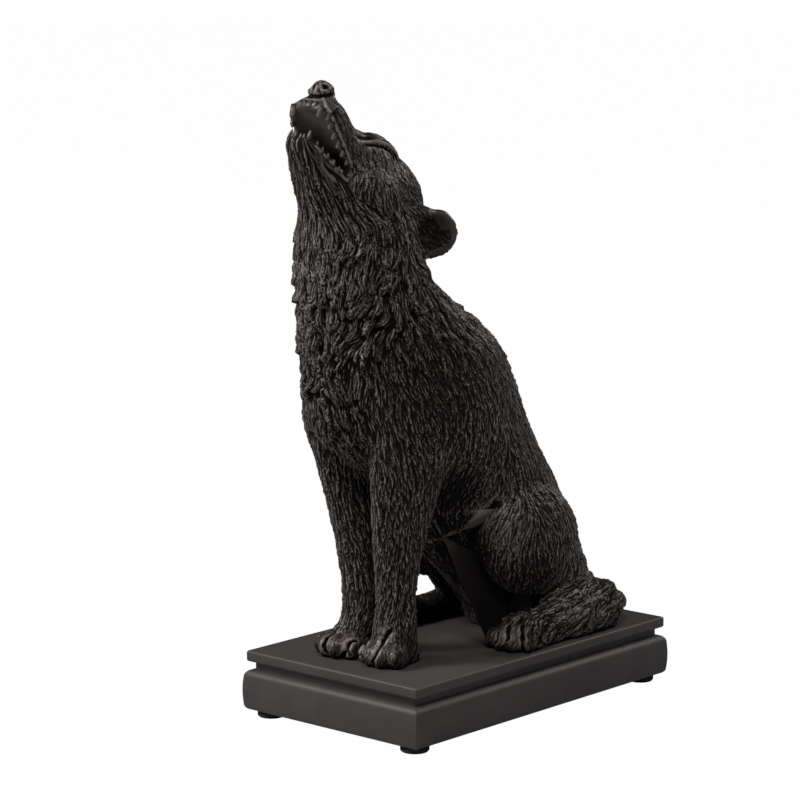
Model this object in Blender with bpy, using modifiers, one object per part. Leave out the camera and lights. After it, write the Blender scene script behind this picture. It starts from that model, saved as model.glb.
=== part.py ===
"""Howling wolf candle holder.

A seated wolf with its head thrown back, cast in one piece with its stepped plinth.
Four round bumper pads carry the plinth.
The wolf faces -Y and its left side is +X. Sizes are in millimetres until a mesh is made.
"""

import math

import bmesh
import bpy
import numpy as np
from mathutils import Vector

MM = 0.001

# Plinth, from the floor up
PAD_DIAMETER = 11.6
PAD_HEIGHT = 2.8
PAD_INSET = 8.3
PAD_EDGE = 0.6
PAD_GAP = 0.3
BLOCK_LENGTH = 162.0
BLOCK_WIDTH = 94.3
BLOCK_HEIGHT = 16.7
BLOCK_EDGE = 2.4
SHOULDER_RADIUS = 3.0
NECK_HEIGHT = 3.5
NECK_INSET = 2.6
SLAB_INSET = 1.0
SLAB_HEIGHT = 4.5
SLAB_EDGE = 0.8

# How far the plinth stands behind the middle of the whole, because the muzzle reaches past its front
MUZZLE_SHIFT = 9.0

# Hair relief: the ruff's tiers and the tail's locks
RUFF_TOP = 172.0
RUFF_BOTTOM = 92.0
RUFF_RISE = 30.0
RUFF_SLANT = 9.0
RUFF_ROW = 10.5
RUFF_COLUMNS = 22
RUFF_DEPTH = 2.2
TAIL_ROW = 11.0
TAIL_COLUMNS = 7
TAIL_DEPTH = 1.7
LOCK_REACH = 1.35
LOCK_MEAN = 0.5

# Sculpting grain and mesh budget of the wolf, its two kinds of hollow and its teeth
VOXEL = 1.0
WOLF_TRIANGLES = 7700
HOLLOW_VOXEL = 0.7
MOUTH_TRIANGLES = 700
EAR_TRIANGLES = 360
TOOTH_VOXEL = 0.45
TEETH_TRIANGLES = 860

SLAB_TOP = PAD_HEIGHT + BLOCK_HEIGHT + NECK_HEIGHT + SLAB_HEIGHT

# Trunk sections from rump to neck: height over the slab, front, back, half width, how much wider behind
TRUNK = [
    (-3, 17, 78, 25, 0.15),
    (6, 12, 73.5, 28, 0.2),
    (18, 4, 66, 30, 0.15),
    (32, -12, 61, 30, 0.18),
    (45, -24, 54.5, 30, 0.2),
    (57, -35, 48, 30.5, 0.18),
    (68, -47, 41.5, 31, 0.15),
    (79, -61, 34.5, 32, 0.1),
    (92, -76, 27.5, 33, 0.05),
    (106, -83, 21.5, 33.5, 0),
    (120, -84.5, 13.5, 32.5, 0),
    (130, -85, 3, 31, 0),
    (140, -86, -13, 28.5, 0),
    (151, -87, -28.5, 27, 0),
    (160, -87, -35, 26, 0),
    (168, -88, -37.5, 25, 0),
    (177, -88, -37.5, 22.5, 0),
    (187, -88, -38, 19, 0),
    (194, -88, -43, 14, 0),
]

# Left foreleg sections from shoulder to wrist: x, y, height, half width, half depth
LEFT_FORELEG = [
    (15, -38, 134, 9, 16),
    (19, -45, 116, 12, 22),
    (19, -49, 98, 12, 22),
    (17, -51, 80, 11.5, 19.5),
    (14.5, -52.5, 61, 10, 14.5),
    (12.5, -53.2, 42, 9, 9.8),
    (12, -53.4, 26, 8.3, 7.4),
    (12, -54, 12, 9, 9),
    (12, -55, 4, 9, 10),
]

# The right foreleg stands a little further back and nearer the middle
RIGHT_FORELEG = [
    (-15, -38, 134, 9, 16),
    (-19, -46, 116, 12, 22),
    (-19, -50, 98, 12, 21),
    (-16, -50, 80, 11, 17),
    (-13, -50, 61, 10, 13),
    (-11, -49.5, 42, 9, 9.5),
    (-9.5, -49.5, 26, 8.3, 8.3),
    (-9.5, -51, 12, 8, 8.5),
    (-10.5, -54, 4, 8, 9),
]

# Tail sections from rump to tip: x, y, height, half width, half depth
TAIL = [
    (0, 54, 14, 12, 12),
    (12, 58.5, 10.5, 10, 10.5),
    (25, 60, 8.5, 9.5, 10),
    (33.5, 53, 8, 9.6, 10),
    (36, 43, 8, 9.4, 10),
    (36.3, 31, 8.5, 9.2, 10),
    (36.3, 19, 8.5, 8.8, 9.4),
    (36.5, 7, 7.5, 7.8, 8),
    (38.5, -4, 6, 5.5, 6),
    (40, -10, 4.5, 2.5, 3),
]

# Upper jaw sections from brow to nose: y, height, half width, half depth
UPPER_JAW = [
    (-58, 192, 15.5, 15),
    (-69.5, 203.5, 13.8, 10.8),
    (-77, 209.6, 12.6, 7.9),
    (-81.6, 215.3, 12.3, 7.9),
    (-84.6, 221, 11.8, 7.6),
    (-84.8, 225.2, 9, 5.7),
]
PALATE = [
    (-78.5, 190, 10, 6),
    (-83.6, 204.5, 10.2, 6.4),
    (-89, 213, 10, 6.4),
    (-92.8, 219, 8.6, 5.2),
    (-93.2, 222.6, 4.5, 2.6),
]

# Lower jaw sections from throat to tip: y, height, half width, half depth
LOWER_JAW = [
    (-75, 182, 15, 13),
    (-81.5, 190, 13.2, 10),
    (-87, 197.5, 11.2, 7.2),
    (-91.8, 204.5, 9.2, 5.2),
    (-95.3, 209.8, 7.6, 3.9),
    (-97, 212.4, 5, 2.2),
]

# Left upper lip from under the nose to the corner of the mouth: x, y, height, half width, half depth
LIP = [
    (7.5, -90.6, 222.6, 1.6, 1.6),
    (9.2, -88.4, 218.6, 1.8, 1.8),
    (9.7, -85.4, 213.4, 1.8, 1.8),
    (10.0, -82.4, 208.8, 1.8, 1.8),
    (10.4, -79.4, 204.4, 1.8, 1.8),
    (11.1, -76.6, 199.4, 1.8, 1.8),
    (11.9, -74.0, 194.0, 1.8, 1.8),
]
MOUTH_FLOOR = [
    (-76, 195.5, 10.5, 6),
    (-83, 203.5, 9, 4.4),
    (-89.5, 210, 7, 3.4),
    (-94, 214.2, 5, 2.6),
    (-97.5, 218, 3, 1.5),
]

# Teeth of the left side: x, y and height where each leaves the gum, radius, length
UPPER_TEETH = [
    (1.6, -90.0, 224.0, 1.0, 2.4),
    (4.4, -89.8, 223.8, 1.1, 2.6),
    (8.0, -89.4, 221.6, 1.7, 5.4),
    (10.9, -87.2, 217.2, 1.3, 3.2),
    (11.3, -84.9, 212.6, 1.3, 3.2),
    (11.6, -82.3, 208.8, 1.4, 3.2),
    (11.8, -79.6, 205.4, 1.4, 3.0),
]
UPPER_BITE = (-0.12, -0.78, -0.62)
LOWER_TEETH = [
    (1.5, -96.3, 212.4, 0.9, 2.2),
    (4.8, -95.2, 212.0, 1.3, 4.6),
    (7.0, -93.0, 209.6, 1.0, 2.6),
    (8.3, -90.0, 206.2, 1.0, 2.6),
    (9.6, -86.8, 202.6, 1.1, 2.6),
    (10.8, -83.6, 199.2, 1.1, 2.4),
]
LOWER_BITE = (-0.12, 0.3, 0.94)
TOOTH_ROOT = 1.8


def clear_scene():
    for obj in list(bpy.data.objects):
        bpy.data.objects.remove(obj, do_unlink=True)


def material(name, colour, roughness):
    made = bpy.data.materials.new(name)
    made.use_nodes = True
    shader = made.node_tree.nodes["Principled BSDF"]
    shader.inputs["Base Color"].default_value = (*colour, 1.0)
    shader.inputs["Roughness"].default_value = roughness
    shader.inputs["Metallic"].default_value = 0.0
    return made


def collect(name, parent):
    made = bpy.data.collections.new(name)
    parent.children.link(made)
    return made


def add(name, bm, collection):
    """Makes an object from a bmesh in millimetres."""
    bmesh.ops.scale(bm, vec=(MM, MM, MM), verts=bm.verts)
    bmesh.ops.recalc_face_normals(bm, faces=bm.faces)
    mesh = bpy.data.meshes.new(name)
    bm.to_mesh(mesh)
    bm.free()
    made = bpy.data.objects.new(name, mesh)
    collection.objects.link(made)
    return made


def finish(obj):
    """Applies an object's modifiers to its own mesh."""
    graph = bpy.context.evaluated_depsgraph_get()
    mesh = bpy.data.meshes.new_from_object(obj.evaluated_get(graph))
    obj.modifiers.clear()
    obj.data = mesh
    return obj


def section(bm, centre, side, up, half_width, half_depth, egg, sides):
    """Oval ring, wider by the share egg where it faces up and narrower by it on the other side."""
    ring = []
    for i in range(sides):
        a = 2 * math.pi * i / sides
        reach = half_width * math.cos(a) * (1 + egg * math.sin(a))
        ring.append(bm.verts.new(centre + side * reach + up * (half_depth * math.sin(a))))
    return ring


def blend(sections, steps):
    """Fills in sections between the given ones along a smooth curve."""
    rows = np.array(sections, float)
    padded = np.vstack([2 * rows[0] - rows[1], rows, 2 * rows[-1] - rows[-2]])
    filled = []
    for a, b, c, d in zip(padded, padded[1:], padded[2:], padded[3:]):
        for i in range(steps):
            t = i / steps
            filled.append(
                0.5 * (2 * b + (c - a) * t + (2 * a - 5 * b + 4 * c - d) * t**2)
                + 0.5 * (3 * b - a - 3 * c + d) * t**3
            )
    filled.append(rows[-1])
    return [tuple(row) for row in filled]


def loft(bm, sections, normal=None, sides=24, steps=4):
    """Closed tube through oval sections (x, y, z, half width, half depth, egg), its width along X."""
    sections = blend([(*s, 0)[:6] for s in sections], steps)
    centres = [Vector(s[:3]) for s in sections]
    rings = []
    for i, (centre, s) in enumerate(zip(centres, sections)):
        if normal:
            along = Vector(normal)
        else:
            along = (centres[min(i + 1, len(centres) - 1)] - centres[max(i - 1, 0)]).normalized()
        side = (Vector((1, 0, 0)) - along * along.x)
        if side.length < 0.2:
            side = Vector((0, 1, 0)) - along * along.y
        side.normalize()
        rings.append(section(bm, centre, side, along.cross(side), s[3], s[4], s[5], sides))
    for low, high in zip(rings, rings[1:]):
        for i in range(sides):
            j = (i + 1) % sides
            bm.faces.new((low[i], low[j], high[j], high[i]))
    bm.faces.new(rings[0][::-1])
    bm.faces.new(rings[-1])


def blob(bm, centre, radii, tilt=0.0, turn=0.0):
    """Ellipsoid, tilted about X and then turned about Z, in degrees."""
    made = bmesh.ops.create_icosphere(bm, subdivisions=3, radius=1.0)["verts"]
    bmesh.ops.scale(bm, vec=radii, verts=made)
    a = math.radians(tilt)
    b = math.radians(turn)
    for v in made:
        x, y, z = v.co
        y, z = y * math.cos(a) - z * math.sin(a), y * math.sin(a) + z * math.cos(a)
        x, y = x * math.cos(b) - y * math.sin(b), x * math.sin(b) + y * math.cos(b)
        v.co = Vector(centre) + Vector((x, y, z))


def trunk(bm):
    sections = [
        (0, (front + back) / 2, height, half_width, (back - front) / 2, egg)
        for height, front, back, half_width, egg in TRUNK
    ]
    loft(bm, sections, normal=(0, 0, 1), sides=40)


def forelegs(bm):
    loft(bm, LEFT_FORELEG, normal=(0, 0, -1))
    loft(bm, RIGHT_FORELEG, normal=(0, 0, -1))


def paw(bm, x, y, turn=0.0, spread=5.3):
    """Forepaw of four knuckled toes. x and y are the middle of its toes' roots."""
    c = math.cos(math.radians(turn))
    s = math.sin(math.radians(turn))
    for i, (ahead, width) in enumerate([(0, 2.9), (3.2, 3.1), (3.2, 3.1), (0, 2.9)]):
        across = (i - 1.5) * spread
        tx = x + across * c + ahead * s
        ty = y + across * s - ahead * c
        blob(bm, (tx, ty, 3.6), (width, 7.0, 4.3), 0, turn + (i - 1.5) * 7)
        blob(bm, (tx + 2.0 * s, ty - 2.0 * c, 5.0), (width, 3.6, 4.2), 0, turn)
    blob(bm, (x - 7 * s, y + 7 * c, 5), (9, 11, 7.5), -22, turn)


def hind_leg(bm, side):
    blob(bm, (side * 26.5, 11.6, 42.5), (15.5, 28.0, 23.5), -22)
    blob(bm, (side * 26, 29, 24), (13, 17, 16))
    blob(bm, (side * 30, 15, 4.5), (8, 25, 5.5))
    paw(bm, side * 33.5, -6, turn=side * 12)


def tail(bm):
    loft(bm, TAIL)


def jaw(bm, sections):
    loft(bm, [(0, *s) for s in sections])


def head(bm):
    blob(bm, (0, -54.8, 185), (19, 25.4, 19.8), -39)
    for side in (-1, 1):
        blob(bm, (side * 11, -66, 187), (10.5, 15, 12), -50, side * 8)
        blob(bm, (side * 7.5, -59.4, 203.9), (7.5, 11, 6.2), -40)
        blob(bm, (side * 12, -63, 200), (5, 8, 5), -45)
    blob(bm, (0, -83.0, 228.4), (6.0, 5.2, 4.5), 20)
    jaw(bm, UPPER_JAW)
    jaw(bm, LOWER_JAW)
    for side in (-1, 1):
        loft(bm, [(side * s[0], *s[1:]) for s in LIP], sides=12)


def mouth(bm):
    """Hollow between the jaws, with a nostril on each side of the nose."""
    jaw(bm, PALATE)
    jaw(bm, MOUTH_FLOOR)
    blob(bm, (0, -80, 200), (9, 6, 7))
    for side in (-1, 1):
        blob(bm, (side * 2.7, -86.2, 231.6), (1.4, 1.7, 2.6), 40)


def ears(bm):
    for side in (-1, 1):
        blob(bm, (side * 20.1, -40.0, 171.5), (5.0, 9.5, 10.5), -25, side * -38)
        blob(bm, (side * 18.5, -45.5, 178), (4, 6.5, 5.5), -30, side * -38)


def ear_hollows(bm):
    for side in (-1, 1):
        blob(bm, (side * 23.9, -42.6, 171.2), (4.4, 7.8, 8.8), -25, side * -38)


def smooth_step(low, high, value):
    t = np.clip((value - low) / (high - low), 0, 1)
    return t * t * (3 - 2 * t)


def locks(along, around, columns, length):
    """Relief from 0 to 1 of shingled locks of hair: each rises towards its pointed tip and ends in a step."""
    relief = np.zeros_like(along)
    row = np.floor(along / length)
    for back in (0, 1):
        r = row - back
        down = (along / length - r) / LOCK_REACH
        stagger = 0.5 * np.mod(r, 2) + 0.25 * np.sin(2.3 * r)
        place = around * columns + stagger
        column = np.floor(place)
        jitter = np.sin(12.9 * column + 7.7 * r)
        across = 2 * np.abs(place - column - 0.5 - 0.12 * jitter)
        tip = down / (1 + 0.12 * np.sin(5.1 * column + 3.3 * r))
        inside = (tip < 1) & (tip > 0)
        half = 1.05 - 0.75 * tip**2
        height = np.clip(tip, 0, 1) ** 0.8 * np.sqrt(np.clip(1 - (across / half) ** 2, 0, 1))
        relief = np.maximum(relief, np.where(inside, height, 0))
    return relief


def coat_relief(obj):
    """Raises the tiers of the ruff round the neck and the thick locks of the tail."""
    mesh = obj.data
    count = len(mesh.vertices)
    points = np.empty(count * 3)
    mesh.vertices.foreach_get("co", points)
    points = points.reshape(-1, 3)
    normals = np.empty(count * 3)
    mesh.vertex_normals.foreach_get("vector", normals)
    normals = normals.reshape(-1, 3)
    x = points[:, 0] / MM
    y = points[:, 1] / MM - MUZZLE_SHIFT
    z = points[:, 2] / MM - SLAB_TOP

    rows = np.array(TRUNK)
    middle = np.interp(z, rows[:, 0], (rows[:, 1] + rows[:, 2]) / 2)
    turn = np.arctan2(x, middle - y)
    fall = RUFF_TOP - z + RUFF_SLANT * (1 - np.cos(turn))
    ruff = locks(fall, turn / (2 * math.pi), RUFF_COLUMNS, RUFF_ROW)
    low_end = RUFF_BOTTOM + RUFF_RISE * (1 - np.cos(turn)) / 2
    ruff -= LOCK_MEAN
    ruff *= smooth_step(low_end, low_end + 18, z) * (1 - smooth_step(RUFF_TOP - 8, RUFF_TOP + 6, z))

    path = np.array(blend(TAIL, 6))
    gaps = np.linalg.norm(np.stack([x, y, z], 1)[:, None, :] - path[None, :, :3], axis=2)
    nearest = np.argmin(gaps, axis=1)
    reach = np.concatenate([[0], np.cumsum(np.linalg.norm(np.diff(path[:, :3], axis=0), axis=1))])
    spot = path[nearest]
    heading = np.gradient(path[:, :3], axis=0)[nearest]
    heading /= np.linalg.norm(heading, axis=1)[:, None]
    out = np.stack([x, y, z], 1) - spot[:, :3]
    level = np.cross(heading, [0, 0, 1])
    level /= np.linalg.norm(level, axis=1)[:, None]
    roll = np.arctan2(out[:, 2], np.sum(out * level, axis=1)) / (2 * math.pi)
    along = reach[nearest] + np.sum(out * heading, axis=1)
    tuft = locks(along, roll + 0.02 * along / TAIL_ROW, TAIL_COLUMNS, TAIL_ROW)
    near = 1 - smooth_step(1.1, 1.5, np.min(gaps, axis=1) / spot[:, 3])
    tuft = (tuft - LOCK_MEAN) * near * smooth_step(14, 30, along)

    lift = RUFF_DEPTH * ruff + TAIL_DEPTH * tuft
    points += normals * (lift * MM)[:, None]
    mesh.vertices.foreach_set("co", points.ravel())
    mesh.update()


def sculpt(name, forms, collection, grain, smoothing, triangles, relief=None, one_shell=True):
    """Melts overlapping forms into one skin, smooths it, presses in relief and thins its facets."""
    bm = bmesh.new()
    for form in forms:
        form(bm)
    bmesh.ops.translate(bm, vec=(0, MUZZLE_SHIFT, SLAB_TOP), verts=bm.verts)
    made = add(name, bm, collection)
    melt = made.modifiers.new("melt", "REMESH")
    melt.mode = "VOXEL"
    melt.voxel_size = grain * MM
    soften = made.modifiers.new("soften", "SMOOTH")
    soften.factor = 0.5
    soften.iterations = smoothing
    finish(made)
    if one_shell:
        keep_largest_shell(made)
    if relief:
        relief(made)
    fewer = made.modifiers.new("fewer", "DECIMATE")
    fewer.ratio = min(1.0, triangles / (2 * len(made.data.polygons)))
    return finish(made)


def keep_largest_shell(obj):
    """Deletes any pocket that the melt left inside the skin."""
    bm = bmesh.new()
    bm.from_mesh(obj.data)
    unseen = set(bm.verts)
    shells = []
    while unseen:
        start = unseen.pop()
        shell = {start}
        front = [start]
        while front:
            v = front.pop()
            for e in v.link_edges:
                w = e.other_vert(v)
                if w in unseen:
                    unseen.discard(w)
                    shell.add(w)
                    front.append(w)
        shells.append(shell)
    shells.sort(key=len)
    doomed = [v for shell in shells[:-1] for v in shell]
    bmesh.ops.delete(bm, geom=doomed, context="VERTS")
    bm.to_mesh(obj.data)
    bm.free()


def combine(obj, other, operation):
    step = obj.modifiers.new(other.name, "BOOLEAN")
    step.operation = operation
    step.solver = "EXACT"
    step.object = other
    other.hide_render = True
    other.display_type = "WIRE"
    finish(obj)
    bpy.data.objects.remove(other, do_unlink=True)


def wolf_forms():
    def body(bm):
        for side in (-1, 1):
            hind_leg(bm, side)
            paw(bm, side * 12, -60, turn=side * 2)

    return [trunk, forelegs, body, tail, head, ears]


def teeth(bm):
    """Incisors, canines and cheek teeth along the rim of each jaw, rooted in it."""
    for row, bite in ((UPPER_TEETH, UPPER_BITE), (LOWER_TEETH, LOWER_BITE)):
        for x, y, z, radius, length in row:
            for side in (-1, 1):
                lean = Vector((bite[0] * side, bite[1], bite[2])).normalized()
                turn = Vector((0, 0, 1)).rotation_difference(lean)
                whole = length + TOOTH_ROOT
                made = bmesh.ops.create_cone(
                    bm,
                    cap_ends=True,
                    segments=8,
                    radius1=radius * 1.15,
                    radius2=0.25 * radius,
                    depth=whole,
                )["verts"]
                middle = Vector((side * x, y, z)) + lean * (whole / 2 - TOOTH_ROOT)
                for v in made:
                    v.co = turn @ v.co + middle


def plinth(collection):
    """Slab, inset neck and rounded block: one profile carried round the four sides."""
    bm = bmesh.new()
    levels = []
    z = PAD_HEIGHT

    def corner(inset, height):
        levels.append((BLOCK_WIDTH / 2 - inset, BLOCK_LENGTH / 2 - inset, height))

    def round_edge(inset, height, radius, start, stop, steps):
        for i in range(steps + 1):
            a = math.radians(start + (stop - start) * i / steps)
            corner(inset + radius * (1 - math.cos(a)), height + radius * math.sin(a))

    round_edge(0, z + BLOCK_EDGE, BLOCK_EDGE, -90, 0, 3)
    block_top = z + BLOCK_HEIGHT
    round_edge(0, block_top - SHOULDER_RADIUS, SHOULDER_RADIUS, 0, 90, 4)
    neck = SLAB_INSET + NECK_INSET
    slab_bottom = block_top + NECK_HEIGHT
    corner(neck, block_top)
    corner(neck, slab_bottom)
    round_edge(SLAB_INSET, slab_bottom + SLAB_EDGE, SLAB_EDGE, -90, 0, 2)
    round_edge(SLAB_INSET, SLAB_TOP - SLAB_EDGE, SLAB_EDGE, 0, 90, 2)
    rings = []
    for half_x, half_y, height in levels:
        corners = [(1, -1), (1, 1), (-1, 1), (-1, -1)]
        rings.append([bm.verts.new((sx * half_x, sy * half_y, height)) for sx, sy in corners])
    for low, high in zip(rings, rings[1:]):
        for i in range(4):
            j = (i + 1) % 4
            bm.faces.new((low[i], low[j], high[j], high[i]))
    bm.faces.new(rings[0][::-1])
    bm.faces.new(rings[-1])
    bmesh.ops.translate(bm, vec=(0, MUZZLE_SHIFT, 0), verts=bm.verts)
    return add("plinth", bm, collection)


def pads(collection, finish_material):
    for row, sy in (("front", -1), ("rear", 1)):
        for hand, sx in (("right", -1), ("left", 1)):
            bm = bmesh.new()
            bmesh.ops.create_cone(
                bm,
                cap_ends=True,
                segments=20,
                radius1=PAD_DIAMETER / 2,
                radius2=PAD_DIAMETER / 2,
                depth=PAD_HEIGHT - PAD_GAP,
            )
            rims = [e for e in bm.edges if abs(e.verts[0].co.z - e.verts[1].co.z) < 0.01]
            bmesh.ops.bevel(bm, geom=rims, offset=PAD_EDGE, segments=1, profile=0.5, affect="EDGES")
            made = add(f"foot_pad_{row}_{hand}", bm, collection)
            made.location = (
                sx * (BLOCK_WIDTH / 2 - PAD_INSET) * MM,
                (sy * (BLOCK_LENGTH / 2 - PAD_INSET) + MUZZLE_SHIFT) * MM,
                (PAD_HEIGHT - PAD_GAP) / 2 * MM,
            )
            made.data.materials.append(finish_material)
            made.data.shade_smooth()
            made.data.set_sharp_from_angle(angle=math.radians(40))


def main():
    clear_scene()
    parts = collect("wolf_candle_holder", bpy.context.scene.collection)
    tools = collect("joined_shapes", bpy.context.scene.collection)
    resin = material("charcoal_resin", (0.022, 0.021, 0.020), 0.62)
    rubber = material("pad_rubber", (0.012, 0.012, 0.012), 0.8)
    wolf = sculpt("wolf", wolf_forms(), tools, VOXEL, 4, WOLF_TRIANGLES, coat_relief)
    hollow = sculpt("mouth_hollow", [mouth], tools, HOLLOW_VOXEL, 3, MOUTH_TRIANGLES, one_shell=False)
    combine(wolf, hollow, "DIFFERENCE")
    scoops = sculpt("ear_hollows", [ear_hollows], tools, HOLLOW_VOXEL, 2, EAR_TRIANGLES, one_shell=False)
    combine(wolf, scoops, "DIFFERENCE")
    fangs = sculpt("fangs", [teeth], tools, TOOTH_VOXEL, 0, TEETH_TRIANGLES, one_shell=False)
    combine(wolf, fangs, "UNION")
    casting = plinth(parts)
    casting.name = "casting"
    combine(casting, wolf, "UNION")
    keep_largest_shell(casting)
    casting.data.materials.clear()
    casting.data.materials.append(resin)
    casting.data.shade_smooth()
    casting.data.set_sharp_from_angle(angle=math.radians(50))
    pads(parts, rubber)


main()
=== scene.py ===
"""Howling wolf candle holder: carved coat, face, teeth, plinth, finishes, light and camera.

The wolf's skin is grown from the casting, and hair is carved into it stroke by stroke.
Hair runs the way the photograph shows it: each guide is a short line in the photograph's pixels
(800 x 800), laid on the skin along the camera's own ray.
Wolf coordinates are millimetres over the slab: x to the wolf's left, y to its back, z up.
"""

import math

import bmesh
import bpy
import numpy as np
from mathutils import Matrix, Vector
from mathutils.bvhtree import BVHTree

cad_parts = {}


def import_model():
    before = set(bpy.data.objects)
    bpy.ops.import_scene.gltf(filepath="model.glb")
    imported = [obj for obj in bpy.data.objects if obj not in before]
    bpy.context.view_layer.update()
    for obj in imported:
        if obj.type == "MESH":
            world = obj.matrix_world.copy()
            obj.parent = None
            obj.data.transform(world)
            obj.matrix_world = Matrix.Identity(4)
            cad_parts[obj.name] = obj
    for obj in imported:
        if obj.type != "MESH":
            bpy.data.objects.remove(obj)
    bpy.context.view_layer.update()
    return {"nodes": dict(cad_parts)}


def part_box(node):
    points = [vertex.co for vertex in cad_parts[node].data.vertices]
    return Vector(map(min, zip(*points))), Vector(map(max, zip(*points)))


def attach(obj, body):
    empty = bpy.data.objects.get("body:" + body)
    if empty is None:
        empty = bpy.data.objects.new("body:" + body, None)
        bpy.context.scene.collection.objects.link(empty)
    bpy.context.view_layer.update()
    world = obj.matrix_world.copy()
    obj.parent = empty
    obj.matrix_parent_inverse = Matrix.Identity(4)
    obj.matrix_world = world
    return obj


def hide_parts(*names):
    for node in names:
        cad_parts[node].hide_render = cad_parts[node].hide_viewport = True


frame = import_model()

MM = 0.001
TINY = 1e-6
RNG = np.random.default_rng(7)

# Plinth, from the floor up
PAD_HEIGHT = 2.8
BLOCK_LENGTH = 162.0
BLOCK_WIDTH = 94.3
BLOCK_HEIGHT = 16.7
BLOCK_EDGE = 2.4
BLOCK_BULGE = 0.35
SHOULDER_RADIUS = 3.0
NECK_HEIGHT = 3.5
NECK_INSET = 2.6
SLAB_INSET = 1.0
SLAB_HEIGHT = 4.5
SLAB_EDGE = 0.9
SLAB_TOP = PAD_HEIGHT + BLOCK_HEIGHT + NECK_HEIGHT + SLAB_HEIGHT
CORNER_RADIUS = 0.9
CORNER_STEPS = 4
NECK_EASE = 0.15
WALL_STEPS = 8
EDGE_STEPS = 6
SHOULDER_STEPS = 8
SLAB_STEPS = 4
MUZZLE_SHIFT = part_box("casting")[1][1] / MM - BLOCK_LENGTH / 2

# Camera, solved on the plinth's edges
CAMERA_PLACE = (788.1, -916.6, 327.2)
CAMERA_AIM = (-0.65486, 0.73785, -0.16350)
LENS = 135.0
SENSOR = 36.0
PHOTO_SIDE = 800
FOCAL_PIXELS = LENS / SENSOR * PHOTO_SIDE

# Grain of the skin before its last refinement, and how far its feet reach into the slab
GRAIN = 0.925
SOFTENING = 8
FOOT_CUT = 0.12
FOOT_DEPTH = 2.2
WOLF_BOX = ((-60, -110, FOOT_CUT), (60, 110, 260))

# Hair: length, width, height and cover, then those of the locks that it gathers in
STYLES = {
    "muzzle": (4.0, 0.95, 0.40, 2.2, 5.0, 2.0, 0.0, 0.0),
    "ear": (3.0, 0.9, 0.2, 1.2, 4.0, 2.0, 0.0, 0.0),
    "face": (3.8, 1.0, 0.60, 2.4, 6.0, 2.4, 0.30, 1.0),
    "lines": (9.0, 1.15, 0.80, 2.2, 14.0, 3.0, 0.5, 1.3),
    "neck": (6.5, 1.1, 0.80, 2.3, 12.0, 4.4, 1.3, 1.7),
    "ruff": (6.5, 1.1, 0.90, 2.5, 12.5, 6.2, 2.9, 2.2),
    "coat": (6.0, 1.1, 0.80, 2.4, 10.0, 3.4, 0.50, 1.0),
    "leg": (7.0, 1.1, 0.80, 2.3, 12.0, 3.0, 0.4, 1.2),
    "thigh": (6.0, 1.1, 0.70, 2.4, 9.0, 3.0, 0.2, 0.5),
    "tail": (7.0, 1.05, 0.85, 2.5, 12.0, 4.6, 1.6, 2.0),
    "paw": (3.5, 0.95, 0.25, 1.2, 6.0, 2.2, 0.0, 0.0),
}
HAIR = (0, 1, 2, 3)
LOCK = (4, 5, 6, 7)

# Rows of tall locks: their spacing, their slope and how much they waver
TIER = 9.5
TIER_SLOPE = 0.45
TIER_WAVER = 1.6

# Slow waves that turn the hair from place to place, by so much for each millimetre of lock height
SWIRL = 0.07
WAVES = np.array([(0.25, 0.15, 0.38), (-0.34, 0.26, 0.21), (0.14, -0.36, 0.3)])
PHASES = (0.4, 2.1, 4.0)

MIRROR = np.array([-1.0, 1.0, 1.0])

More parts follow.
